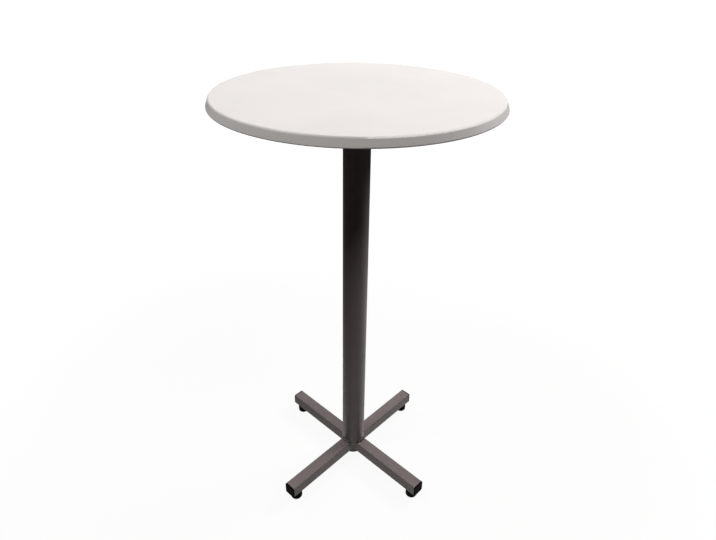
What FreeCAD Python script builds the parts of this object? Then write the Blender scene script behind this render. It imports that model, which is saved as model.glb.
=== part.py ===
import FreeCAD, Part
import math
import os

# Round pub table: a moulded top on one round steel column, four box-section legs welded to the
# column's foot in an X, and a screw-in levelling foot under the outer end of each leg.
# Millimetres, +Z up, origin on the floor under the column's axis, -Y to the front.

V = FreeCAD.Vector
UP = V(0, 0, 1)
DOWN = V(0, 0, -1)

# Overall size
top_diameter = 600.0
table_height = 1035.0
leg_reach = 240.0

# Moulded top
top_thickness = 18.5
top_edge_draft = 21.0
top_upper_radius = 5.0
top_lower_radius = 2.0

# Column
column_diameter = 60.3
column_wall = 2.0
column_plug_head = 5.0
column_plug_head_radius = 1.5
column_plug_depth = 16.0
column_plug_wall = 2.5

# Legs
leg_width = 32.0
leg_wall = 2.0
leg_corner_radius = 4.5
leg_bore_least_radius = 0.5
leg_underside = 22.0
leg_angles = {"front_left": 225.0, "front_right": 315.0, "back_right": 45.0, "back_left": 135.0}
leg_weld_size = 4.5

# Leg end caps
cap_head = 4.0
cap_head_radius = 1.5
cap_plug_depth = 10.0
cap_plug_wall = 2.0
cap_recess = 0.8
cap_recess_margin = 5.0

# Ribs that hold the column's plug and the end caps in their tubes
rib_count = 3
rib_thickness = 1.2
rib_height = 0.8

# Top plate and its fixings
plate_side = 200.0
plate_thickness = 5.0
plate_corner_radius = 15.0
plate_weld_size = 5.0
screw_diameter = 6.0
screw_length = 16.0
screw_head_flats = 10.0
screw_head_height = 4.0
screw_head_chamfer = 30.0
screw_plate_margin = 20.0
screw_plate_clearance = 0.5
washer_diameter = 12.0
washer_thickness = 1.6
washer_clearance = 0.2
insert_diameter = 9.0
insert_length = 13.0
insert_flange_diameter = 12.0
insert_flange_thickness = 1.5
insert_hole_end_gap = 1.0

# Levelling feet
foot_inset = 23.0
foot_diameter = 30.0
foot_bottom_radius = 3.5
foot_top_radius = 1.5
stud_diameter = 8.0
stud_head_diameter = 16.0
stud_head_thickness = 3.5
stud_head_cover = 5.0
stud_headroom = 7.0
stud_end_chamfer = 1.0
nut_body_diameter = 11.0
nut_flange_diameter = 16.0
nut_flange_thickness = 1.5
nut_bulge_diameter = 15.0
nut_bulge_height = 4.0
nut_length_inside = 14.0

# Clearances
thread_clearance = 0.05
swivel_clearance = 0.05
foot_stop_gap = 0.3

# Distance under which two points count as one
tolerance = 1e-3

# Sizes worked out from the ones above
column_radius = column_diameter / 2
column_bore_radius = column_radius - column_wall
leg_top = leg_underside + leg_width
leg_middle = leg_underside + leg_width / 2
leg_bore = leg_width - 2 * leg_wall
leg_bore_radius = max(leg_corner_radius - leg_wall, leg_bore_least_radius)
leg_tube_end = leg_reach - cap_head
top_underside = table_height - top_thickness
plate_underside = top_underside - plate_thickness
screw_radius = screw_diameter / 2
insert_bore_radius = screw_radius + thread_clearance
stud_radius = stud_diameter / 2
nut_bottom = leg_underside - nut_flange_thickness
foot_top = nut_bottom - foot_stop_gap
foot_radius = foot_diameter / 2
foot_from_axis = leg_reach - foot_inset
stud_top = leg_top - leg_wall - stud_headroom
screw_spacing = plate_side - 2 * screw_plate_margin
screw_places = []
for side_x in (-1, 1):
    for side_y in (-1, 1):
        screw_places.append(V(side_x * screw_spacing / 2, side_y * screw_spacing / 2, 0))


def turned(points, place=V(0, 0, 0)):
    """Solid turned about a vertical axis through place from a closed outline of (radius, z) points."""
    corners = [V(radius, 0, z) for radius, z in points]
    outline = Part.makePolygon(corners + corners[:1])
    solid = Part.Face(outline).revolve(V(0, 0, 0), UP, 360)
    solid.translate(place)
    return solid


def arc(centre_radius, centre_z, radius, start_deg, end_deg):
    """Arc edge in the XZ plane about (centre_radius, centre_z)."""
    ends = []
    for angle in (start_deg, (start_deg + end_deg) / 2, end_deg):
        turn = math.radians(angle)
        ends.append(V(centre_radius + radius * math.cos(turn), 0, centre_z + radius * math.sin(turn)))
    return Part.Arc(*ends).toShape()


def edge_ends(edge):
    """First and last point of an edge made by arc()."""
    return edge.valueAt(edge.FirstParameter), edge.valueAt(edge.LastParameter)


def edges_along(shape, direction):
    """Straight edges of shape that run along direction."""
    found = []
    for edge in shape.Edges:
        if isinstance(edge.Curve, Part.Line):
            run = edge.valueAt(edge.LastParameter) - edge.valueAt(edge.FirstParameter)
            if run.normalize().cross(direction).Length < tolerance:
                found.append(edge)
    return found


def square_bar(width, corner_radius, start, end):
    """Square bar along X on the legs' mid-height, with rounded long edges."""
    corner = V(start, -width / 2, leg_middle - width / 2)
    bar = Part.makeBox(end - start, width, width, corner)
    return bar.makeFillet(corner_radius, edges_along(bar, V(1, 0, 0)))


def at_leg(shape, angle):
    """Copy of a shape made on the +X leg, turned to the leg at angle."""
    placed = shape.copy()
    placed.rotate(V(0, 0, 0), UP, angle)
    return placed


def moulded_top():
    """Disc whose edge slopes out towards a rounded lower lip, with blind holes for the inserts."""
    lip_r = top_diameter / 2 - top_lower_radius
    lip_z = top_underside + top_lower_radius
    rim_z = table_height - top_upper_radius
    draft = math.radians(top_edge_draft)
    fall = (rim_z - lip_z) * math.sin(draft)
    rim_r = lip_r + (top_lower_radius - top_upper_radius - fall) / math.cos(draft)
    lower = arc(lip_r, lip_z, top_lower_radius, -90, top_edge_draft)
    upper = arc(rim_r, rim_z, top_upper_radius, top_edge_draft, 90)
    lower_start, lower_end = edge_ends(lower)
    upper_start, upper_end = edge_ends(upper)
    outline = Part.Wire([
        Part.makeLine(V(0, 0, top_underside), lower_start),
        lower,
        Part.makeLine(lower_end, upper_start),
        upper,
        Part.makeLine(upper_end, V(0, 0, table_height)),
        Part.makeLine(V(0, 0, table_height), V(0, 0, top_underside)),
    ])
    disc = Part.Face(outline).revolve(V(0, 0, 0), UP, 360)
    hole_depth = insert_length + insert_hole_end_gap
    for place in screw_places:
        mouth = place + UP * top_underside
        disc = disc.cut(Part.makeCylinder(insert_diameter / 2, hole_depth, mouth))
        disc = disc.cut(Part.makeCylinder(insert_flange_diameter / 2, insert_flange_thickness, mouth))
    return disc


def threaded_insert(place):
    """Flanged metal insert, flush with the top's underside."""
    flange_top = top_underside + insert_flange_thickness
    insert_top = top_underside + insert_length
    return turned([
        (insert_bore_radius, top_underside),
        (insert_flange_diameter / 2, top_underside),
        (insert_flange_diameter / 2, flange_top),
        (insert_diameter / 2, flange_top),
        (insert_diameter / 2, insert_top),
        (insert_bore_radius, insert_top),
    ], place)


def top_plate():
    """Square plate with rounded corners and a clearance hole for each screw."""
    corner = V(-plate_side / 2, -plate_side / 2, plate_underside)
    plate = Part.makeBox(plate_side, plate_side, plate_thickness, corner)
    plate = plate.makeFillet(plate_corner_radius, edges_along(plate, UP))
    hole_radius = screw_radius + screw_plate_clearance
    for place in screw_places:
        plate = plate.cut(Part.makeCylinder(hole_radius, plate_thickness, place + UP * plate_underside))
    return plate


def top_screw(place):
    """Hexagon-head screw that reaches up through washer and plate into its insert."""
    head_top = plate_underside - washer_thickness
    head_base = head_top - screw_head_height
    face_radius = screw_head_flats / 2
    corner_radius = screw_head_flats / math.sqrt(3)
    blank_radius = washer_diameter / 2
    chamfer_top = head_base + (blank_radius - face_radius) * math.tan(math.radians(screw_head_chamfer))
    corners = []
    for step in range(6):
        turn = math.radians(60 * step)
        corners.append(V(corner_radius * math.cos(turn), corner_radius * math.sin(turn), head_top))
    head = Part.Face(Part.makePolygon(corners + corners[:1])).extrude(DOWN * screw_head_height)
    blank = turned([
        (0, head_base),
        (face_radius, head_base),
        (blank_radius, chamfer_top),
        (blank_radius, head_top),
        (0, head_top),
    ])
    head = head.common(blank)
    head.translate(place)
    return head.fuse(Part.makeCylinder(screw_radius, screw_length, place + UP * head_top)).removeSplitter()


def washer(place):
    """Flat washer between screw head and plate."""
    base = plate_underside - washer_thickness
    hole_radius = screw_radius + washer_clearance
    return turned([
        (hole_radius, base),
        (washer_diameter / 2, base),
        (washer_diameter / 2, plate_underside),
        (hole_radius, plate_underside),
    ], place)


def column_tube():
    """Round tube from the legs' underside to the top plate."""
    return turned([
        (column_bore_radius, leg_underside),
        (column_radius, leg_underside),
        (column_radius, plate_underside),
        (column_bore_radius, plate_underside),
    ])


def column_top_weld():
    """Fillet weld all round between the column and the underside of the plate."""
    weld_base = plate_underside - plate_weld_size
    return turned([
        (column_radius, weld_base),
        (column_radius + plate_weld_size, plate_underside),
        (column_radius, plate_underside),
    ])


def column_plug():
    """Plastic plug with a round-edged head that closes the column's open lower end."""
    head_base = leg_underside - column_plug_head
    plug_top = leg_underside + column_plug_depth
    core_radius = column_bore_radius - rib_height
    hollow_radius = core_radius - column_plug_wall
    head = Part.makeCylinder(column_radius, column_plug_head, V(0, 0, head_base))
    lower_rim = [edge for edge in head.Edges if edge.BoundBox.ZMax < head_base + tolerance]
    head = head.makeFillet(column_plug_head_radius, lower_rim)
    plug = head.fuse(Part.makeCylinder(core_radius, column_plug_depth, V(0, 0, leg_underside)))
    rib_pitch = column_plug_depth / (rib_count + 1)
    for step in range(rib_count):
        rib_z = leg_underside + rib_pitch * (step + 1) - rib_thickness / 2
        plug = plug.fuse(Part.makeCylinder(column_bore_radius, rib_thickness, V(0, 0, rib_z)))
    plug = plug.cut(Part.makeCylinder(hollow_radius, plug_top - leg_underside, V(0, 0, leg_underside)))
    return plug.removeSplitter()


def leg_outside():
    """Outside of the +X leg, run in to the column's axis."""
    return square_bar(leg_width, leg_corner_radius, 0, leg_tube_end)


def leg_tube():
    """Box-section leg, its inner end cut to the column and its underside drilled for the nut."""
    tube = leg_outside().cut(square_bar(leg_bore, leg_bore_radius, 0, leg_tube_end))
    tube = tube.cut(Part.makeCylinder(column_radius, leg_width, V(0, 0, leg_underside)))
    drill = V(foot_from_axis, 0, leg_underside)
    return tube.cut(Part.makeCylinder(nut_body_diameter / 2, leg_wall, drill))


def leg_weld():
    """Fillet weld along the upper face and both sides of the leg where it meets the column."""
    post_base = leg_underside - leg_width
    post = Part.makeCylinder(column_radius, 3 * leg_width, V(0, 0, post_base))
    bar = leg_outside()
    joined = post.fuse(bar)
    seam = []
    for edge in joined.Edges:
        middle = edge.valueAt((edge.FirstParameter + edge.LastParameter) / 2)
        on_column = abs(math.hypot(middle.x, middle.y) - column_radius) < tolerance
        on_leg = leg_underside - tolerance <= middle.z <= leg_top + tolerance
        if on_column and on_leg and middle.x > 0:
            seam.append(edge)
    bead = joined.makeFillet(leg_weld_size, seam).cut(post).cut(bar)
    bead_base = leg_underside + leg_corner_radius
    keep_corner = V(0, -leg_width, bead_base)
    return bead.common(Part.makeBox(leg_reach, 2 * leg_width, 2 * leg_width, keep_corner))


def end_cap():
    """Plastic cap on the +X leg's outer end: a flat head with a shallow panel and a ribbed plug."""
    head = square_bar(leg_width, leg_corner_radius, leg_tube_end, leg_reach)
    rim = [edge for edge in head.Edges if edge.BoundBox.XMin > leg_reach - tolerance]
    head = head.makeFillet(cap_head_radius, rim)
    panel_width = leg_width - 2 * cap_recess_margin
    head = head.cut(square_bar(panel_width, leg_corner_radius, leg_reach - cap_recess, leg_reach))
    plug_start = leg_tube_end - cap_plug_depth
    core = leg_bore - 2 * rib_height
    cap = head.fuse(square_bar(core, leg_bore_radius, plug_start, leg_tube_end))
    rib_pitch = cap_plug_depth / (rib_count + 1)
    for step in range(rib_count):
        rib_x = plug_start + rib_pitch * (step + 1) - rib_thickness / 2
        cap = cap.fuse(square_bar(leg_bore, leg_bore_radius, rib_x, rib_x + rib_thickness))
    hollow = core - 2 * cap_plug_wall
    cap = cap.cut(square_bar(hollow, leg_bore_radius, plug_start, leg_tube_end))
    return cap.removeSplitter()


def foot_nut():
    """Blind rivet nut: its flange under the leg, its body through the wall and its bulge inside."""
    bore = stud_radius + thread_clearance
    body = nut_body_diameter / 2
    wall_top = leg_underside + leg_wall
    bulge_top = wall_top + nut_bulge_height
    nut_top = wall_top + nut_length_inside
    return turned([
        (bore, nut_bottom),
        (nut_flange_diameter / 2, nut_bottom),
        (nut_flange_diameter / 2, leg_underside),
        (body, leg_underside),
        (body, wall_top),
        (nut_bulge_diameter / 2, wall_top),
        (body, bulge_top),
        (body, nut_top),
        (bore, nut_top),
    ], V(foot_from_axis, 0, 0))


def foot_stud():
    """Threaded stud of a levelling foot, with the round head that the pad is moulded over."""
    head_top = stud_head_cover + stud_head_thickness
    return turned([
        (0, stud_head_cover),
        (stud_head_diameter / 2, stud_head_cover),
        (stud_head_diameter / 2, head_top),
        (stud_radius, head_top),
        (stud_radius, stud_top - stud_end_chamfer),
        (stud_radius - stud_end_chamfer, stud_top),
        (0, stud_top),
    ], V(foot_from_axis, 0, 0))


def foot_pad():
    """Round plastic pad of a levelling foot, hollow around the stud's head and shank."""
    centre = V(foot_from_axis, 0, 0)
    pad = Part.makeCylinder(foot_radius, foot_top, centre)
    lower_rim = [edge for edge in pad.Edges if edge.BoundBox.ZMax < tolerance]
    pad = pad.makeFillet(foot_bottom_radius, lower_rim)
    upper_rim = [edge for edge in pad.Edges if edge.BoundBox.ZMin > foot_top - tolerance]
    pad = pad.makeFillet(foot_top_radius, upper_rim)
    head_base = stud_head_cover - swivel_clearance
    head_top = stud_head_cover + stud_head_thickness + swivel_clearance
    head_radius = stud_head_diameter / 2 + swivel_clearance
    pad = pad.cut(Part.makeCylinder(head_radius, head_top - head_base, centre + UP * head_base))
    neck_radius = stud_radius + swivel_clearance
    return pad.cut(Part.makeCylinder(neck_radius, foot_top - head_top, centre + UP * head_top))


def save(name, shape):
    """Check that a sub-part is made of sound solids and write it."""
    if not shape.isValid() or not shape.Solids:
        raise ValueError(name + " is not a sound solid")
    body = shape.Solids[0] if len(shape.Solids) == 1 else Part.makeCompound(shape.Solids)
    body.exportStep("parts/" + name + ".step")


def group(make):
    """One solid at each screw, kept apart in one compound."""
    return Part.makeCompound([make(place) for place in screw_places])


os.makedirs("parts", exist_ok=True)

save("table_top", moulded_top())
save("top_inserts", group(threaded_insert))
save("top_plate", top_plate())
save("top_screws", group(top_screw))
save("top_washers", group(washer))
save("column_tube", column_tube())
save("column_top_weld", column_top_weld())
save("column_plug", column_plug())

leg_pieces = {
    "leg": leg_tube(),
    "end_cap": end_cap(),
    "foot_stud": foot_stud(),
    "foot_pad": foot_pad(),
}
for corner_name, corner_angle in leg_angles.items():
    for piece_name, piece in leg_pieces.items():
        save(piece_name + "_" + corner_name, at_leg(piece, corner_angle))

bead = leg_weld()
nut = foot_nut()
save("leg_welds", Part.makeCompound([at_leg(bead, angle) for angle in leg_angles.values()]))
save("foot_nuts", Part.makeCompound([at_leg(nut, angle) for angle in leg_angles.values()]))
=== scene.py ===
import math

import bmesh
import bpy
from bpy.props import FloatProperty, FloatVectorProperty, IntProperty, PointerProperty
from mathutils import Matrix, Vector


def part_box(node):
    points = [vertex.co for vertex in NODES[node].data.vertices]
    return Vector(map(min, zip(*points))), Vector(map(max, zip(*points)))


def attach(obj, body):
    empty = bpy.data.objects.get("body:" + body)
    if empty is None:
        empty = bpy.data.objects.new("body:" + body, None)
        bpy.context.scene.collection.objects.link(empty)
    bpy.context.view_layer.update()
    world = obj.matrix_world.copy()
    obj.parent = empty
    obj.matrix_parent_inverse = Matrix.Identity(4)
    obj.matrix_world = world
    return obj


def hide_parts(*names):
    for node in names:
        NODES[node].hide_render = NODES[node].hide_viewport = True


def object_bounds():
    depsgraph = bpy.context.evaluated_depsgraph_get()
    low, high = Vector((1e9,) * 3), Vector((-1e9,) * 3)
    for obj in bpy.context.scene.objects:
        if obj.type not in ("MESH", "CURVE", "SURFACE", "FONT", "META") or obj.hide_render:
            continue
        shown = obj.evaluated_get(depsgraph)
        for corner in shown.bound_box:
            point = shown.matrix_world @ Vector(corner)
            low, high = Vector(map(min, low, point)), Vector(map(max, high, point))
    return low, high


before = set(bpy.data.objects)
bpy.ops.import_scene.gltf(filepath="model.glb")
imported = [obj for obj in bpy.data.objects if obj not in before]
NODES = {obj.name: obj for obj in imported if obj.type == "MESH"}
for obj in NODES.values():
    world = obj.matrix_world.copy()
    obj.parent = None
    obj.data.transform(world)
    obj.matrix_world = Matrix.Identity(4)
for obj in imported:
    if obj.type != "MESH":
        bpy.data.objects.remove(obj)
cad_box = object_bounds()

bl_info = {
    "name": "Pub Table",
    "version": (1, 0, 0),
    "blender": (4, 5, 0),
    "location": "View3D > Sidebar > Pub Table",
    "description": "Finishes, weld beads, foot threads and studio stage of a round pub table",
    "category": "Object",
}

CORNERS = ("front_left", "front_right", "back_right", "back_left")
PHOTO_WIDTH = 716
PHOTO_HEIGHT = 540
SENSOR_WIDTH_MM = 36.0
CAMERA_CLIP_START = 0.05
WHITE = (1.0, 1.0, 1.0, 1.0)

# Weld beads: reach on a leg's sides as a share of that on its top, roundness of the crown, points
# across, share of the size that lies inside the corner, points along a ripple, depth of a ripple.
SIDE_WELD_SHARE = 0.6
BEAD_CROWN = 1.25
BEAD_STEPS = 6
BEAD_ROOT_SHARE = 0.3
RIPPLE_STEPS = 6
RIPPLE_SHARE = 0.12

# Foot thread: rows of points in one turn, and the shares of its slope that are root flat and flank.
THREAD_ROWS = 10
THREAD_ROOT_SHARE = 0.12
THREAD_FLANK_SHARE = 0.7

# Edges: width of the broken edges, and the angles from which an edge is broken or shaded sharp.
PLATE_EDGE = 0.0006
FIXING_EDGE = 0.0003
BROKEN_EDGE_SEGMENTS = 2
BROKEN_EDGE_ANGLE = math.radians(40)
SHARP_ANGLE = math.radians(50)

# Finishes: levels of the shader's specular, spread of the paint's roughness, and shares of a colour
# for the tones that drift through it.
PAINT_SPECULAR = 0.28
WELD_SPECULAR = 0.5
PLASTIC_SPECULAR = 0.02
PAINT_GLOSS_SPREAD = 0.05
WELD_SHADE = 0.7
PLASTIC_WORN = 1.7
ZINC_FILM = 0.82
BRASS_FILM = 0.7

# Studio: the floor, the limits on the axes of direction between unlit and white surroundings, the
# softboxes, and those of them that glossy surfaces don't show.
FLOOR_HALF_SIZE = 30.0
FLOOR_GAP = 0.0005
FLOOR_ROUGHNESS = 0.9
FLOOR_SPECULAR = 0.1
WALL_BEHIND = (-0.3, 0.5)
WALL_LEFT = (-0.6, -0.2)
SOFTBOXES = ("right", "left", "front", "back", "near")
HIDDEN_IN_GLOSS = ("right", "near")

COLUMN_LOW, COLUMN_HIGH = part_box("column_tube")
COLUMN_RADIUS = (COLUMN_HIGH.x - COLUMN_LOW.x) / 2
LEG_LOW, LEG_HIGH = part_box("leg_front_left")
LEG_WIDTH = LEG_HIGH.z - LEG_LOW.z


def box_centre(node):
    """Middle of a CAD node's box."""
    low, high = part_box(node)
    return (low + high) / 2


class PubTableFinish(bpy.types.PropertyGroup):
    """Colours and gloss of the table's finishes"""

    top_colour: FloatVectorProperty(
        name="Top",
        description="Warm white of the moulded top",
        subtype="COLOR",
        size=4,
        min=0.0,
        max=1.0,
        default=(0.84, 0.793, 0.765, 1.0),
    )
    top_shade: FloatVectorProperty(
        name="Top shade",
        description="Slightly greyer tone that drifts through the moulded top",
        subtype="COLOR",
        size=4,
        min=0.0,
        max=1.0,
        default=(0.81, 0.765, 0.738, 1.0),
    )
    paint_colour: FloatVectorProperty(
        name="Frame paint",
        description="Warm grey of the powder-coated steel",
        subtype="COLOR",
        size=4,
        min=0.0,
        max=1.0,
        default=(0.205, 0.168, 0.164, 1.0),
    )
    paint_shade: FloatVectorProperty(
        name="Frame paint shade",
        description="Darker tone that drifts through the powder coat",
        subtype="COLOR",
        size=4,
        min=0.0,
        max=1.0,
        default=(0.180, 0.147, 0.143, 1.0),
    )
    paint_roughness: FloatProperty(
        name="Paint roughness",
        description="Mean roughness of the satin powder coat",
        subtype="FACTOR",
        min=0.0,
        max=1.0,
        default=0.40,
    )
    # Painted shade: the weld beads are coloured darker than the frame paint, standing in for the
    # shade in the joints where the legs meet the column.
    weld_colour_painted_shade: FloatVectorProperty(
        name="Weld with painted shade",
        description="Darker tone of the weld beads, painted shade of the leg joints",
        subtype="COLOR",
        size=4,
        min=0.0,
        max=1.0,
        default=(0.045, 0.037, 0.035, 1.0),
    )
    weld_roughness: FloatProperty(
        name="Weld roughness",
        description="Mean roughness of the powder coat over the weld beads",
        subtype="FACTOR",
        min=0.0,
        max=1.0,
        default=0.30,
    )
    plastic_colour: FloatVectorProperty(
        name="Black plastic",
        description="Black of the end caps, the column's plug and the foot pads",
        subtype="COLOR",
        size=4,
        min=0.0,
        max=1.0,
        default=(0.005, 0.005, 0.005, 1.0),
    )
    zinc_colour: FloatVectorProperty(
        name="Zinc",
        description="Bright zinc plate on screws, washers, nuts and studs",
        subtype="COLOR",
        size=4,
        min=0.0,
        max=1.0,
        default=(0.60, 0.61, 0.62, 1.0),
    )
    brass_colour: FloatVectorProperty(
        name="Brass",
        description="Brass of the inserts in the top's underside",
        subtype="COLOR",
        size=4,
        min=0.0,
        max=1.0,
        default=(0.72, 0.53, 0.24, 1.0),
    )


class PubTableDetail(bpy.types.PropertyGroup):
    """Sizes of the details that dress the steel frame and the feet"""

    weld_size: FloatProperty(
        name="Leg weld",
        description="Reach of the leg weld on leg and column",
        subtype="DISTANCE",
        unit="LENGTH",
        default=0.0042,
    )
    plate_weld_size: FloatProperty(
        name="Plate weld",
        description="Reach of the weld between column and top plate",
        subtype="DISTANCE",
        unit="LENGTH",
        default=0.0046,
    )
    weld_ripple: FloatProperty(
        name="Weld ripple",
        description="Distance from one ripple of a weld bead to the next",
        subtype="DISTANCE",
        unit="LENGTH",
        default=0.0024,
    )
    leg_corner_radius: FloatProperty(
        name="Leg corner",
        description="Outer corner radius of the box section",
        subtype="DISTANCE",
        unit="LENGTH",
        default=0.0045,
    )
    thread_pitch: FloatProperty(
        name="Thread pitch",
        description="Rise of the foot stud's thread in one turn",
        subtype="DISTANCE",
        unit="LENGTH",
        default=0.00125,
    )
    thread_depth: FloatProperty(
        name="Thread depth",
        description="Depth of the foot stud's thread",
        subtype="DISTANCE",
        unit="LENGTH",
        default=0.00068,
    )
    thread_radius: FloatProperty(
        name="Thread radius",
        description="Outer radius of the foot stud's thread",
        subtype="DISTANCE",
        unit="LENGTH",
        default=0.004,
    )
    stud_head: FloatProperty(
        name="Stud head",
        description="Thickness of the stud's head inside the pad",
        subtype="DISTANCE",
        unit="LENGTH",
        default=0.0035,
    )
    stud_sides: IntProperty(
        name="Stud sides",
        description="Points around the stud's thread",
        min=12,
        default=32,
    )


class PubTableStage(bpy.types.PropertyGroup):
    """Camera, light and floor of the studio"""

    camera_distance: FloatProperty(
        name="Camera distance",
        description="Level distance from the column's axis to the camera",
        subtype="DISTANCE",
        unit="LENGTH",
        default=1.1091,
    )
    camera_height: FloatProperty(
        name="Camera height",
        description="Height of the camera over the floor",
        subtype="DISTANCE",
        unit="LENGTH",
        default=1.298,
    )
    camera_side: FloatProperty(
        name="Camera side",
        description="Angle by which the camera stands to the left of straight ahead",
        subtype="ANGLE",
        unit="ROTATION",
        default=math.radians(1.618),
    )
    camera_pan: FloatProperty(
        name="Camera pan",
        description="Angle by which the camera looks to the right of the column",
        subtype="ANGLE",
        unit="ROTATION",
        default=math.radians(0.275),
    )
    camera_pitch: FloatProperty(
        name="Camera pitch",
        description="Angle by which the camera looks down",
        subtype="ANGLE",
        unit="ROTATION",
        default=math.radians(29.035),
    )
    camera_roll: FloatProperty(
        name="Camera roll",
        description="Angle by which the camera is turned about its own axis",
        subtype="ANGLE",
        unit="ROTATION",
        default=math.radians(0.895),
    )
    focal_pixels: FloatProperty(
        name="Focal length",
        description="Focal length in pixels of the photograph's frame",
        default=545.39,
    )
    axis_row: FloatProperty(
        name="Axis row",
        description="Row of the photograph's frame that the camera's axis goes through",
        default=244.2,
    )
    floor_colour: FloatVectorProperty(
        name="Floor",
        description="Floor colour that the lamps light, and that lights the object from below",
        subtype="COLOR",
        size=4,
        min=0.0,
        max=1.0,
        default=(0.07, 0.069, 0.068, 1.0),
    )
    floor_glow: FloatProperty(
        name="Floor glow",
        description="White that the floor adds near the table for the camera and for reflections",
        min=0.0,
        default=0.92,
    )
    glow_near: FloatProperty(
        name="Glow near",
        description="Distance from the table within which the floor adds that white",
        subtype="DISTANCE",
        unit="LENGTH",
        default=0.5,
    )
    glow_far: FloatProperty(
        name="Glow far",
        description="Distance from the table from which the floor is full white",
        subtype="DISTANCE",
        unit="LENGTH",
        default=2.4,
    )
    pool_side: FloatProperty(
        name="Pool side",
        description="How far right of the column the floor's white in reflections has its middle",
        subtype="DISTANCE",
        unit="LENGTH",
        default=0.45,
    )
    pool_near: FloatProperty(
        name="Pool near",
        description="Distance from that middle within which reflections show the floor white",
        subtype="DISTANCE",
        unit="LENGTH",
        default=0.35,
    )
    pool_far: FloatProperty(
        name="Pool far",
        description="Distance from that middle from which reflections show the floor unlit",
        subtype="DISTANCE",
        unit="LENGTH",
        default=1.15,
    )
    fill: FloatProperty(
        name="Fill",
        description="Strength of the soft light from all round",
        min=0.0,
        default=0.008,
    )
    right_power: FloatProperty(
        name="Right power",
        description="Power of the softbox on the right",
        subtype="POWER",
        unit="POWER",
        default=81.0,
    )
    right_place: FloatVectorProperty(
        name="Right place",
        description="Middle of the softbox on the right",
        subtype="TRANSLATION",
        unit="LENGTH",
        size=3,
        default=(2.95, 1.5, 3.05),
    )
    left_power: FloatProperty(
        name="Left power",
        description="Power of the softbox on the left",
        subtype="POWER",
        unit="POWER",
        default=50.0,
    )
    left_place: FloatVectorProperty(
        name="Left place",
        description="Middle of the softbox on the left",
        subtype="TRANSLATION",
        unit="LENGTH",
        size=3,
        default=(-2.2, -0.75, 4.15),
    )
    front_power: FloatProperty(
        name="Front power",
        description="Power of the softbox in front",
        subtype="POWER",
        unit="POWER",
        default=50.0,
    )
    front_place: FloatVectorProperty(
        name="Front place",
        description="Middle of the softbox in front",
        subtype="TRANSLATION",
        unit="LENGTH",
        size=3,
        default=(1.83, -1.83, 4.0),
    )
    near_power: FloatProperty(
        name="Near power",
        description="Power of the near softbox at the back right",
        subtype="POWER",
        unit="POWER",
        default=11.0,
    )
    near_place: FloatVectorProperty(
        name="Near place",
        description="Middle of the near softbox at the back right",
        subtype="TRANSLATION",
        unit="LENGTH",
        size=3,
        default=(1.0, 1.35, 2.45),
    )
    back_power: FloatProperty(
        name="Back power",
        description="Power of the softbox at the back left",
        subtype="POWER",
        unit="POWER",
        default=24.0,
    )
    back_place: FloatVectorProperty(
        name="Back place",
        description="Middle of the softbox at the back left",
        subtype="TRANSLATION",
        unit="LENGTH",
        size=3,
        default=(-2.4, 2.1, 3.1),
    )
    softbox_size: FloatVectorProperty(
        name="Softbox size",
        description="Width and depth of each softbox",
        subtype="TRANSLATION",
        unit="LENGTH",
        size=2,
        default=(1.2, 1.0),
    )


def solid_material(name):
    """New node material with its tree and its Principled shader."""
    material = bpy.data.materials.new(name)
    material.use_nodes = True
    return material, material.node_tree, material.node_tree.nodes["Principled BSDF"]


def noise(tree, scale, detail, roughness):
    """Noise texture in the object's own metres."""
    place = tree.nodes.new("ShaderNodeTexCoord")
    texture = tree.nodes.new("ShaderNodeTexNoise")
    texture.inputs["Scale"].default_value = scale
    texture.inputs["Detail"].default_value = detail
    texture.inputs["Roughness"].default_value = roughness
    tree.links.new(place.outputs["Object"], texture.inputs["Vector"])
    return texture.outputs["Fac"]


def spread(tree, value, low, high, start=0.3, end=0.7):
    """Value eased from low at start to high at end."""
    ramp = tree.nodes.new("ShaderNodeMapRange")
    ramp.interpolation_type = "SMOOTHSTEP"
    ramp.inputs["From Min"].default_value = start
    ramp.inputs["From Max"].default_value = end
    ramp.inputs["To Min"].default_value = low
    ramp.inputs["To Max"].default_value = high
    tree.links.new(value, ramp.inputs["Value"])
    return ramp.outputs["Result"]


def combine(tree, operation, first, second):
    """Result of a math node on two values."""
    node = tree.nodes.new("ShaderNodeMath")
    node.operation = operation
    tree.links.new(first, node.inputs[0])
    tree.links.new(second, node.inputs[1])
    return node.outputs["Value"]


def blend_colours(tree, value, low, high):
    """Colour between low and high by a value from 0 to 1."""
    mix = tree.nodes.new("ShaderNodeMix")
    mix.data_type = "RGBA"
    mix.inputs["A"].default_value = low
    mix.inputs["B"].default_value = high
    tree.links.new(value, mix.inputs["Factor"])
    return mix.outputs["Result"]


def bump(tree, shader, height, strength, distance):
    """Fine relief on a shader."""
    relief = tree.nodes.new("ShaderNodeBump")
    relief.inputs["Strength"].default_value = strength
    relief.inputs["Distance"].default_value = distance
    tree.links.new(height, relief.inputs["Height"])
    tree.links.new(relief.outputs["Normal"], shader.inputs["Normal"])


def toned(colour, share):
    """Colour with its three channels scaled by a share."""
    return [channel * share for channel in colour[:3]] + [1.0]


def drifting(tree, shader, drift, shade, colour):
    """Base colour that drifts from shade to colour by a noise."""
    tone = blend_colours(tree, spread(tree, drift, 0.0, 1.0), shade, colour)
    tree.links.new(tone, shader.inputs["Base Color"])


def uneven_gloss(tree, shader, drift, smooth, rough):
    """Roughness that drifts from smooth to rough by a noise."""
    tree.links.new(spread(tree, drift, smooth, rough), shader.inputs["Roughness"])


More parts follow.
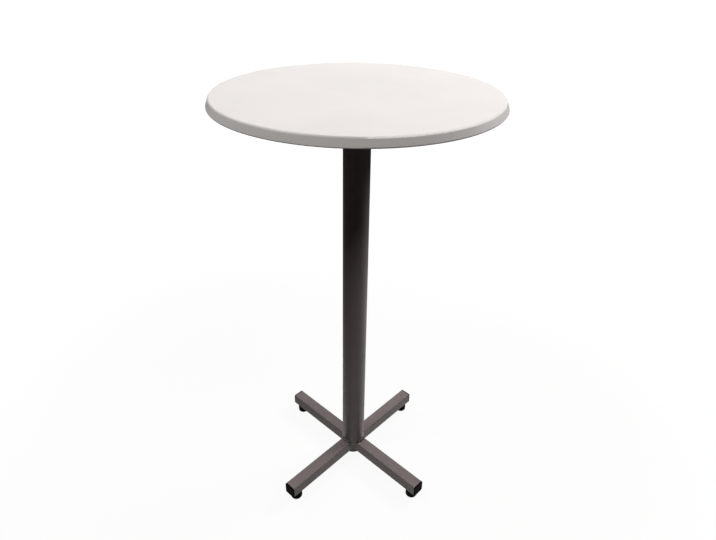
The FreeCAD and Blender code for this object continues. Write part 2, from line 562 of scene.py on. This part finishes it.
def warm_white_moulding(finish):
    """Satin moulded surface: a faint drift of tone, uneven gloss and a fine pressed grain."""
    material, tree, shader = solid_material("warm_white_moulding")
    clouds = noise(tree, scale=5.0, detail=3.0, roughness=0.5)
    drifting(tree, shader, clouds, finish.top_shade, finish.top_colour)
    patches = noise(tree, scale=40.0, detail=4.0, roughness=0.6)
    uneven_gloss(tree, shader, patches, smooth=0.34, rough=0.44)
    grain = noise(tree, scale=1400.0, detail=2.0, roughness=0.5)
    bump(tree, shader, grain, strength=0.06, distance=0.0002)
    return material


def powder_coat(name, shade, colour, roughness, specular):
    """Satin powder coat on steel: a drifting tone with uneven gloss and orange peel."""
    material, tree, shader = solid_material(name)
    drifting(tree, shader, noise(tree, scale=18.0, detail=5.0, roughness=0.6), shade, colour)
    patches = noise(tree, scale=60.0, detail=4.0, roughness=0.6)
    smooth = roughness - PAINT_GLOSS_SPREAD
    rough = roughness + PAINT_GLOSS_SPREAD
    uneven_gloss(tree, shader, patches, smooth, rough)
    shader.inputs["Specular IOR Level"].default_value = specular
    orange_peel = noise(tree, scale=650.0, detail=2.0, roughness=0.4)
    bump(tree, shader, orange_peel, strength=0.10, distance=0.0003)
    return material


def black_moulded_plastic(finish):
    """Black satin plastic with a fine spark-eroded texture."""
    material, tree, shader = solid_material("black_moulded_plastic")
    scuffs = noise(tree, scale=90.0, detail=3.0, roughness=0.5)
    worn = toned(finish.plastic_colour, PLASTIC_WORN)
    drifting(tree, shader, scuffs, finish.plastic_colour, worn)
    patches = noise(tree, scale=300.0, detail=3.0, roughness=0.6)
    uneven_gloss(tree, shader, patches, smooth=0.55, rough=0.70)
    shader.inputs["Specular IOR Level"].default_value = PLASTIC_SPECULAR
    pits = noise(tree, scale=2600.0, detail=2.0, roughness=0.6)
    bump(tree, shader, pits, strength=0.18, distance=0.0002)
    return material


def plated_metal(name, colour, film):
    """Plated metal with a cloudy film, given as a share of its colour, and fine marks."""
    material, tree, shader = solid_material(name)
    clouds = noise(tree, scale=220.0, detail=4.0, roughness=0.6)
    drifting(tree, shader, clouds, toned(colour, film), colour)
    shader.inputs["Metallic"].default_value = 1.0
    patches = noise(tree, scale=500.0, detail=3.0, roughness=0.6)
    uneven_gloss(tree, shader, patches, smooth=0.24, rough=0.40)
    marks = noise(tree, scale=3000.0, detail=2.0, roughness=0.5)
    bump(tree, shader, marks, strength=0.06, distance=0.0001)
    return material


def dress(node, material):
    """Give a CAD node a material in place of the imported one."""
    slots = NODES[node].material_slots
    if not slots:
        NODES[node].data.materials.append(material)
    for holder in slots:
        holder.material = material


def soften(node, width):
    """Break a CAD node's sharp edges, as deburring does."""
    rounding = NODES[node].modifiers.new("broken_edges", "BEVEL")
    rounding.width = width
    rounding.segments = BROKEN_EDGE_SEGMENTS
    rounding.limit_method = "ANGLE"
    rounding.angle_limit = BROKEN_EDGE_ANGLE


def add_piece(name, build, material, body, replaced):
    """Make a mesh piece with build(bmesh) that rides on a body in place of a CAD node."""
    mesh = bpy.data.meshes.new(name)
    work = bmesh.new()
    build(work)
    bmesh.ops.recalc_face_normals(work, faces=work.faces)
    work.to_mesh(mesh)
    work.free()
    mesh.shade_smooth()
    mesh.set_sharp_from_angle(angle=SHARP_ANGLE)
    mesh.materials.append(material)
    piece = bpy.data.objects.new(name, mesh)
    bpy.context.scene.collection.objects.link(piece)
    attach(piece, body)
    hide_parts(replaced)


def skin_rings(work, rings, closed):
    """Join rings of points into one skin, closed round or capped at its two ends."""
    made = [[work.verts.new(point) for point in ring] for ring in rings]
    count = len(made[0])
    steps = len(made) if closed else len(made) - 1
    for step in range(steps):
        here = made[step]
        there = made[(step + 1) % len(made)]
        for index in range(count):
            after = (index + 1) % count
            work.faces.new((here[index], here[after], there[after], there[index]))
    if not closed:
        work.faces.new(made[0])
        work.faces.new(made[-1])


def bead_section(foot, along_leg, along_column, size):
    """Outline of a slightly crowned fillet weld between two surfaces that meet at foot."""
    root = foot - (along_leg + along_column) * size * BEAD_ROOT_SHARE
    outline = [root]
    for step in range(BEAD_STEPS + 1):
        turn = math.pi / 2 * step / BEAD_STEPS
        level = math.cos(turn)
        rise = math.sin(turn)
        reach = size * (level ** BEAD_CROWN + rise ** BEAD_CROWN) ** (-1 / BEAD_CROWN)
        outline.append(foot + (along_leg * level + along_column * rise) * reach)
    return outline


def rippled(size, distance, spacing):
    """Size of a weld bead at a distance along it: overlapping scallops, as the arc leaves them."""
    scallop = abs(math.sin(math.pi * distance / spacing))
    return size * (1 - RIPPLE_SHARE + RIPPLE_SHARE * scallop)


def seam_points(detail):
    """Points on a leg's rounded square outline, up one side, over the top and down the other."""
    half = LEG_WIDTH / 2
    radius = detail.leg_corner_radius
    top = LEG_HIGH.z
    start = LEG_LOW.z + radius
    shoulder = top - radius
    spacing = detail.weld_ripple / RIPPLE_STEPS
    up_steps = round((shoulder - start) / spacing)
    arc_steps = round(radius * math.pi / 2 / spacing)
    over_steps = round(2 * (half - radius) / spacing)
    points = []
    for step in range(up_steps):
        points.append((half, start + (shoulder - start) * step / up_steps, 0.0))
    for step in range(arc_steps):
        turn = math.pi / 2 * step / arc_steps
        side = half - radius + radius * math.cos(turn)
        points.append((side, shoulder + radius * math.sin(turn), turn))
    for step in range(over_steps + 1):
        side = (half - radius) * (1 - 2 * step / over_steps)
        points.append((side, top, math.pi / 2))
    mirrored = [(-side, height, math.pi - turn) for side, height, turn in points]
    return points + mirrored[up_steps + arc_steps - 1::-1]


def build_leg_welds(work, detail):
    """One crowned, rippled bead round the upper three sides of each leg's joint with the column."""
    for corner in CORNERS:
        centre = box_centre("foot_pad_" + corner)
        heading = Matrix.Rotation(math.atan2(centre.y, centre.x), 3, "Z")
        rings = []
        travelled = 0.0
        before = None
        for side, height, turn in seam_points(detail):
            forward = math.sqrt(COLUMN_RADIUS ** 2 - side ** 2)
            foot = Vector((forward, side, height))
            travelled += (foot - before).length if before else 0.0
            before = foot
            outward = Vector((0, math.cos(turn), math.sin(turn)))
            radial = Vector((forward, side, 0)).normalized()
            along_column = (outward - radial * outward.dot(radial)).normalized()
            reach = detail.weld_size * (SIDE_WELD_SHARE + (1 - SIDE_WELD_SHARE) * math.sin(turn))
            size = rippled(reach, travelled, detail.weld_ripple)
            ring = bead_section(foot, Vector((1, 0, 0)), along_column, size)
            rings.append([heading @ point for point in ring])
        skin_rings(work, rings, closed=False)


def build_plate_weld(work, detail):
    """Crowned, rippled bead all round the column under the top plate."""
    ripples = round(2 * math.pi * COLUMN_RADIUS / detail.weld_ripple)
    steps = ripples * RIPPLE_STEPS
    rings = []
    for step in range(steps):
        turn = 2 * math.pi * step / steps
        radial = Vector((math.cos(turn), math.sin(turn), 0))
        foot = radial * COLUMN_RADIUS + Vector((0, 0, COLUMN_HIGH.z))
        size = rippled(detail.plate_weld_size, step, RIPPLE_STEPS)
        rings.append(bead_section(foot, radial, Vector((0, 0, -1)), size))
    skin_rings(work, rings, closed=True)


def thread_profile(phase):
    """Height of a thread from 0 at the root to 1 at the crest, with small flats at both."""
    slope = 1 - abs(2 * (phase % 1) - 1)
    return min(max((slope - THREAD_ROOT_SHARE) / THREAD_FLANK_SHARE, 0.0), 1.0)


def build_stud(work, corner, detail):
    """Threaded stud on its round head: a right-hand thread that fades out at both ends."""
    low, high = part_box("foot_stud_" + corner)
    axis = (low + high) / 2
    head_top = low.z + detail.stud_head
    head_radius = (high.x - low.x) / 2
    core = detail.thread_radius - detail.thread_depth
    rise = detail.thread_pitch / THREAD_ROWS
    rows = int((high.z - head_top) / rise)
    rings = []

    def ring(radius_at, height):
        points = []
        for index in range(detail.stud_sides):
            turn = 2 * math.pi * index / detail.stud_sides
            radius = radius_at(turn)
            across = axis.x + radius * math.cos(turn)
            along = axis.y + radius * math.sin(turn)
            points.append(Vector((across, along, height)))
        return points

    for radius, height in ((head_radius, low.z), (head_radius, head_top), (core, head_top)):
        rings.append(ring(lambda turn, radius=radius: radius, height))
    for row in range(1, rows + 1):
        height = head_top + (high.z - head_top) * row / rows
        from_end = min(high.z - height, height - head_top)
        fade = min(from_end / detail.thread_pitch, 1.0)

        def radius_at(turn, height=height, fade=fade):
            phase = height / detail.thread_pitch - turn / (2 * math.pi)
            return core + detail.thread_depth * thread_profile(phase) * fade

        rings.append(ring(radius_at, height))
    skin_rings(work, rings, closed=False)


class PUBTABLE_OT_moulded_top(bpy.types.Operator):
    """Finish the moulded top in satin warm white"""

    bl_idname = "pub_table.moulded_top"
    bl_label = "Moulded Top"

    def execute(self, context):
        dress("table_top", warm_white_moulding(context.scene.pub_table_finish))
        return {"FINISHED"}


class PUBTABLE_OT_steel_frame(bpy.types.Operator):
    """Powder-coat the column, the legs and the top plate, and lay their weld beads"""

    bl_idname = "pub_table.steel_frame"
    bl_label = "Steel Frame"

    def execute(self, context):
        detail = context.scene.pub_table_detail
        finish = context.scene.pub_table_finish
        paint = powder_coat(
            "warm_grey_powder_coat",
            finish.paint_shade,
            finish.paint_colour,
            finish.paint_roughness,
            PAINT_SPECULAR,
        )
        # Painted shade: the weld beads get a darker colour than the frame, standing in for the
        # shade in the joints where the legs meet the column and under the top plate.
        weld_paint_painted_shade = powder_coat(
            "painted_weld_beads",
            toned(finish.weld_colour_painted_shade, WELD_SHADE),
            finish.weld_colour_painted_shade,
            finish.weld_roughness,
            WELD_SPECULAR,
        )
        for node in ["column_tube", "top_plate"] + ["leg_" + corner for corner in CORNERS]:
            dress(node, paint)
        soften("top_plate", PLATE_EDGE)
        add_piece(
            "leg_weld_beads",
            lambda work: build_leg_welds(work, detail),
            weld_paint_painted_shade,
            "table",
            "leg_welds",
        )
        add_piece(
            "plate_weld_bead",
            lambda work: build_plate_weld(work, detail),
            weld_paint_painted_shade,
            "table",
            "column_top_weld",
        )
        return {"FINISHED"}


class PUBTABLE_OT_plastic_caps(bpy.types.Operator):
    """Finish the legs' end caps and the column's plug in black moulded plastic"""

    bl_idname = "pub_table.plastic_caps"
    bl_label = "Plastic Caps"

    def execute(self, context):
        plastic = black_moulded_plastic(context.scene.pub_table_finish)
        for node in ["column_plug"] + ["end_cap_" + corner for corner in CORNERS]:
            dress(node, plastic)
        return {"FINISHED"}


class PUBTABLE_OT_levelling_feet(bpy.types.Operator):
    """Finish the foot pads and rivet nuts, and put a threaded stud into each foot"""

    bl_idname = "pub_table.levelling_feet"
    bl_label = "Levelling Feet"

    def execute(self, context):
        finish = context.scene.pub_table_finish
        detail = context.scene.pub_table_detail
        plastic = bpy.data.materials["black_moulded_plastic"]
        zinc = plated_metal("bright_zinc", finish.zinc_colour, ZINC_FILM)
        dress("foot_nuts", zinc)
        soften("foot_nuts", FIXING_EDGE)
        for corner in CORNERS:
            dress("foot_pad_" + corner, plastic)
            add_piece(
                "threaded_stud_" + corner,
                lambda work, corner=corner: build_stud(work, corner, detail),
                zinc,
                "stud_" + corner,
                "foot_stud_" + corner,
            )
        return {"FINISHED"}


class PUBTABLE_OT_top_fixings(bpy.types.Operator):
    """Finish the screws, washers and inserts that hold the top on its plate"""

    bl_idname = "pub_table.top_fixings"
    bl_label = "Top Fixings"

    def execute(self, context):
        zinc = bpy.data.materials["bright_zinc"]
        for node in ("top_screws", "top_washers"):
            dress(node, zinc)
            soften(node, FIXING_EDGE)
        finish = context.scene.pub_table_finish
        dress("top_inserts", plated_metal("insert_brass", finish.brass_colour, BRASS_FILM))
        return {"FINISHED"}


def seen_white(tree, lit):
    """1 for camera rays, lit for glossy and transmission rays, 0 for rays that light the object."""
    path = tree.nodes.new("ShaderNodeLightPath")
    rays = path.outputs
    reflected = combine(tree, "MAXIMUM", rays["Is Glossy Ray"], rays["Is Transmission Ray"])
    shown = combine(tree, "MULTIPLY", reflected, lit)
    return combine(tree, "MAXIMUM", rays["Is Camera Ray"], shown)


def distance_from(tree, middle):
    """Distance of a point of the floor from a middle."""
    place = tree.nodes.new("ShaderNodeTexCoord")
    apart = tree.nodes.new("ShaderNodeVectorMath")
    apart.operation = "DISTANCE"
    apart.inputs[1].default_value = middle
    tree.links.new(place.outputs["Object"], apart.inputs[0])
    return apart.outputs["Value"]


def floor_white(tree, stage):
    """White that the floor shows: less round the feet, and in reflections a pool beside them."""
    from_pool = distance_from(tree, (stage.pool_side, 0.0, 0.0))
    from_column = distance_from(tree, (0.0, 0.0, 0.0))
    pool = spread(tree, from_pool, 1.0, 0.0, stage.pool_near, stage.pool_far)
    round_feet = spread(tree, from_column, stage.floor_glow, 1.0, stage.glow_near, stage.glow_far)
    return combine(tree, "MULTIPLY", round_feet, seen_white(tree, pool))


def lay_floor(stage):
    """Wide pale floor under the feet."""
    mesh = bpy.data.meshes.new("studio_floor")
    work = bmesh.new()
    bmesh.ops.create_grid(work, x_segments=1, y_segments=1, size=FLOOR_HALF_SIZE)
    work.to_mesh(mesh)
    work.free()
    floor = bpy.data.objects.new("studio_floor", mesh)
    floor.location.z = cad_box[0].z - FLOOR_GAP
    bpy.context.scene.collection.objects.link(floor)
    material, tree, shader = solid_material("studio_floor")
    shader.inputs["Base Color"].default_value = stage.floor_colour
    shader.inputs["Roughness"].default_value = FLOOR_ROUGHNESS
    shader.inputs["Specular IOR Level"].default_value = FLOOR_SPECULAR
    shader.inputs["Emission Color"].default_value = WHITE
    tree.links.new(floor_white(tree, stage), shader.inputs["Emission Strength"])
    mesh.materials.append(material)


def light_all_round(stage):
    """White surroundings, in reflections only behind and on the left, that give a soft fill."""
    world = bpy.data.worlds.new("studio")
    world.use_nodes = True
    tree = world.node_tree
    background = tree.nodes["Background"]
    background.inputs["Color"].default_value = WHITE
    direction = tree.nodes.new("ShaderNodeTexCoord")
    axes = tree.nodes.new("ShaderNodeSeparateXYZ")
    tree.links.new(direction.outputs["Generated"], axes.inputs["Vector"])
    behind = spread(tree, axes.outputs["Y"], 0.0, 1.0, *WALL_BEHIND)
    left = spread(tree, axes.outputs["X"], 1.0, 0.0, *WALL_LEFT)
    walls = combine(tree, "MAXIMUM", behind, left)
    strength = spread(tree, seen_white(tree, walls), stage.fill, 1.0, 0.0, 1.0)
    tree.links.new(strength, background.inputs["Strength"])
    bpy.context.scene.world = world


def hang_softbox(name, place, target, size, power, in_gloss):
    """Rectangular softbox at a place, facing a target, seen or not in glossy surfaces."""
    lamp = bpy.data.lights.new(name, "AREA")
    lamp.shape = "RECTANGLE"
    lamp.size, lamp.size_y = size
    lamp.energy = power
    holder = bpy.data.objects.new(name, lamp)
    holder.location = place
    holder.rotation_euler = (target - Vector(place)).to_track_quat("-Z", "Y").to_euler()
    holder.visible_glossy = in_gloss
    bpy.context.scene.collection.objects.link(holder)


def hang_softboxes(stage):
    """Softboxes on the right, on the left, in front and at the back left, and a weak near one."""
    middle = (cad_box[0] + cad_box[1]) / 2
    for side in SOFTBOXES:
        place = getattr(stage, side + "_place")
        power = getattr(stage, side + "_power")
        in_gloss = side not in HIDDEN_IN_GLOSS
        hang_softbox(side + "_softbox", place, middle, stage.softbox_size, power, in_gloss)


def place_camera(stage):
    """Camera at the photograph's place and angle."""
    lens = bpy.data.cameras.new("photo_camera")
    lens.sensor_fit = "HORIZONTAL"
    lens.sensor_width = SENSOR_WIDTH_MM
    lens.lens = stage.focal_pixels * SENSOR_WIDTH_MM / PHOTO_WIDTH
    lens.shift_y = (stage.axis_row - PHOTO_HEIGHT / 2) / PHOTO_WIDTH
    lens.clip_start = CAMERA_CLIP_START
    camera = bpy.data.objects.new("photo_camera", lens)
    side = -stage.camera_distance * math.sin(stage.camera_side)
    back = -stage.camera_distance * math.cos(stage.camera_side)
    turn = Matrix.Rotation(-(stage.camera_pan + stage.camera_side), 4, "Z")
    tilt = Matrix.Rotation(math.pi / 2 - stage.camera_pitch, 4, "X")
    roll = Matrix.Rotation(stage.camera_roll, 4, "Z")
    camera.matrix_world = Matrix.Translation((side, back, stage.camera_height)) @ turn @ tilt @ roll
    bpy.context.scene.collection.objects.link(camera)
    bpy.context.scene.camera = camera


class PUBTABLE_OT_studio(bpy.types.Operator):
    """Set up the floor, the soft light and the camera"""

    bl_idname = "pub_table.studio"
    bl_label = "Studio"

    def execute(self, context):
        stage = context.scene.pub_table_stage
        context.scene.view_settings.view_transform = "Standard"
        lay_floor(stage)
        light_all_round(stage)
        hang_softboxes(stage)
        place_camera(stage)
        return {"FINISHED"}


class PUBTABLE_PT_pieces(bpy.types.Panel):
    """Sidebar list of the table's pieces"""

    bl_idname = "PUBTABLE_PT_pieces"
    bl_label = "Pub Table"
    bl_space_type = "VIEW_3D"
    bl_region_type = "UI"
    bl_category = "Pub Table"

    def draw(self, context):
        for operator in OPERATORS:
            self.layout.operator(operator.bl_idname)


OPERATORS = (
    PUBTABLE_OT_moulded_top,
    PUBTABLE_OT_steel_frame,
    PUBTABLE_OT_plastic_caps,
    PUBTABLE_OT_levelling_feet,
    PUBTABLE_OT_top_fixings,
    PUBTABLE_OT_studio,
)
GROUPS = {
    "pub_table_finish": PubTableFinish,
    "pub_table_detail": PubTableDetail,
    "pub_table_stage": PubTableStage,
}


def register():
    for name, group in GROUPS.items():
        bpy.utils.register_class(group)
        setattr(bpy.types.Scene, name, PointerProperty(type=group))
    for item in OPERATORS + (PUBTABLE_PT_pieces,):
        bpy.utils.register_class(item)


def unregister():
    for item in (PUBTABLE_PT_pieces,) + OPERATORS[::-1]:
        bpy.utils.unregister_class(item)
    for name, group in GROUPS.items():
        delattr(bpy.types.Scene, name)
        bpy.utils.unregister_class(group)


def main():
    register()
    bpy.ops.pub_table.moulded_top()
    bpy.ops.pub_table.steel_frame()
    bpy.ops.pub_table.plastic_caps()
    bpy.ops.pub_table.levelling_feet()
    bpy.ops.pub_table.top_fixings()
    bpy.ops.pub_table.studio()


if __name__ == "__main__":
    main()
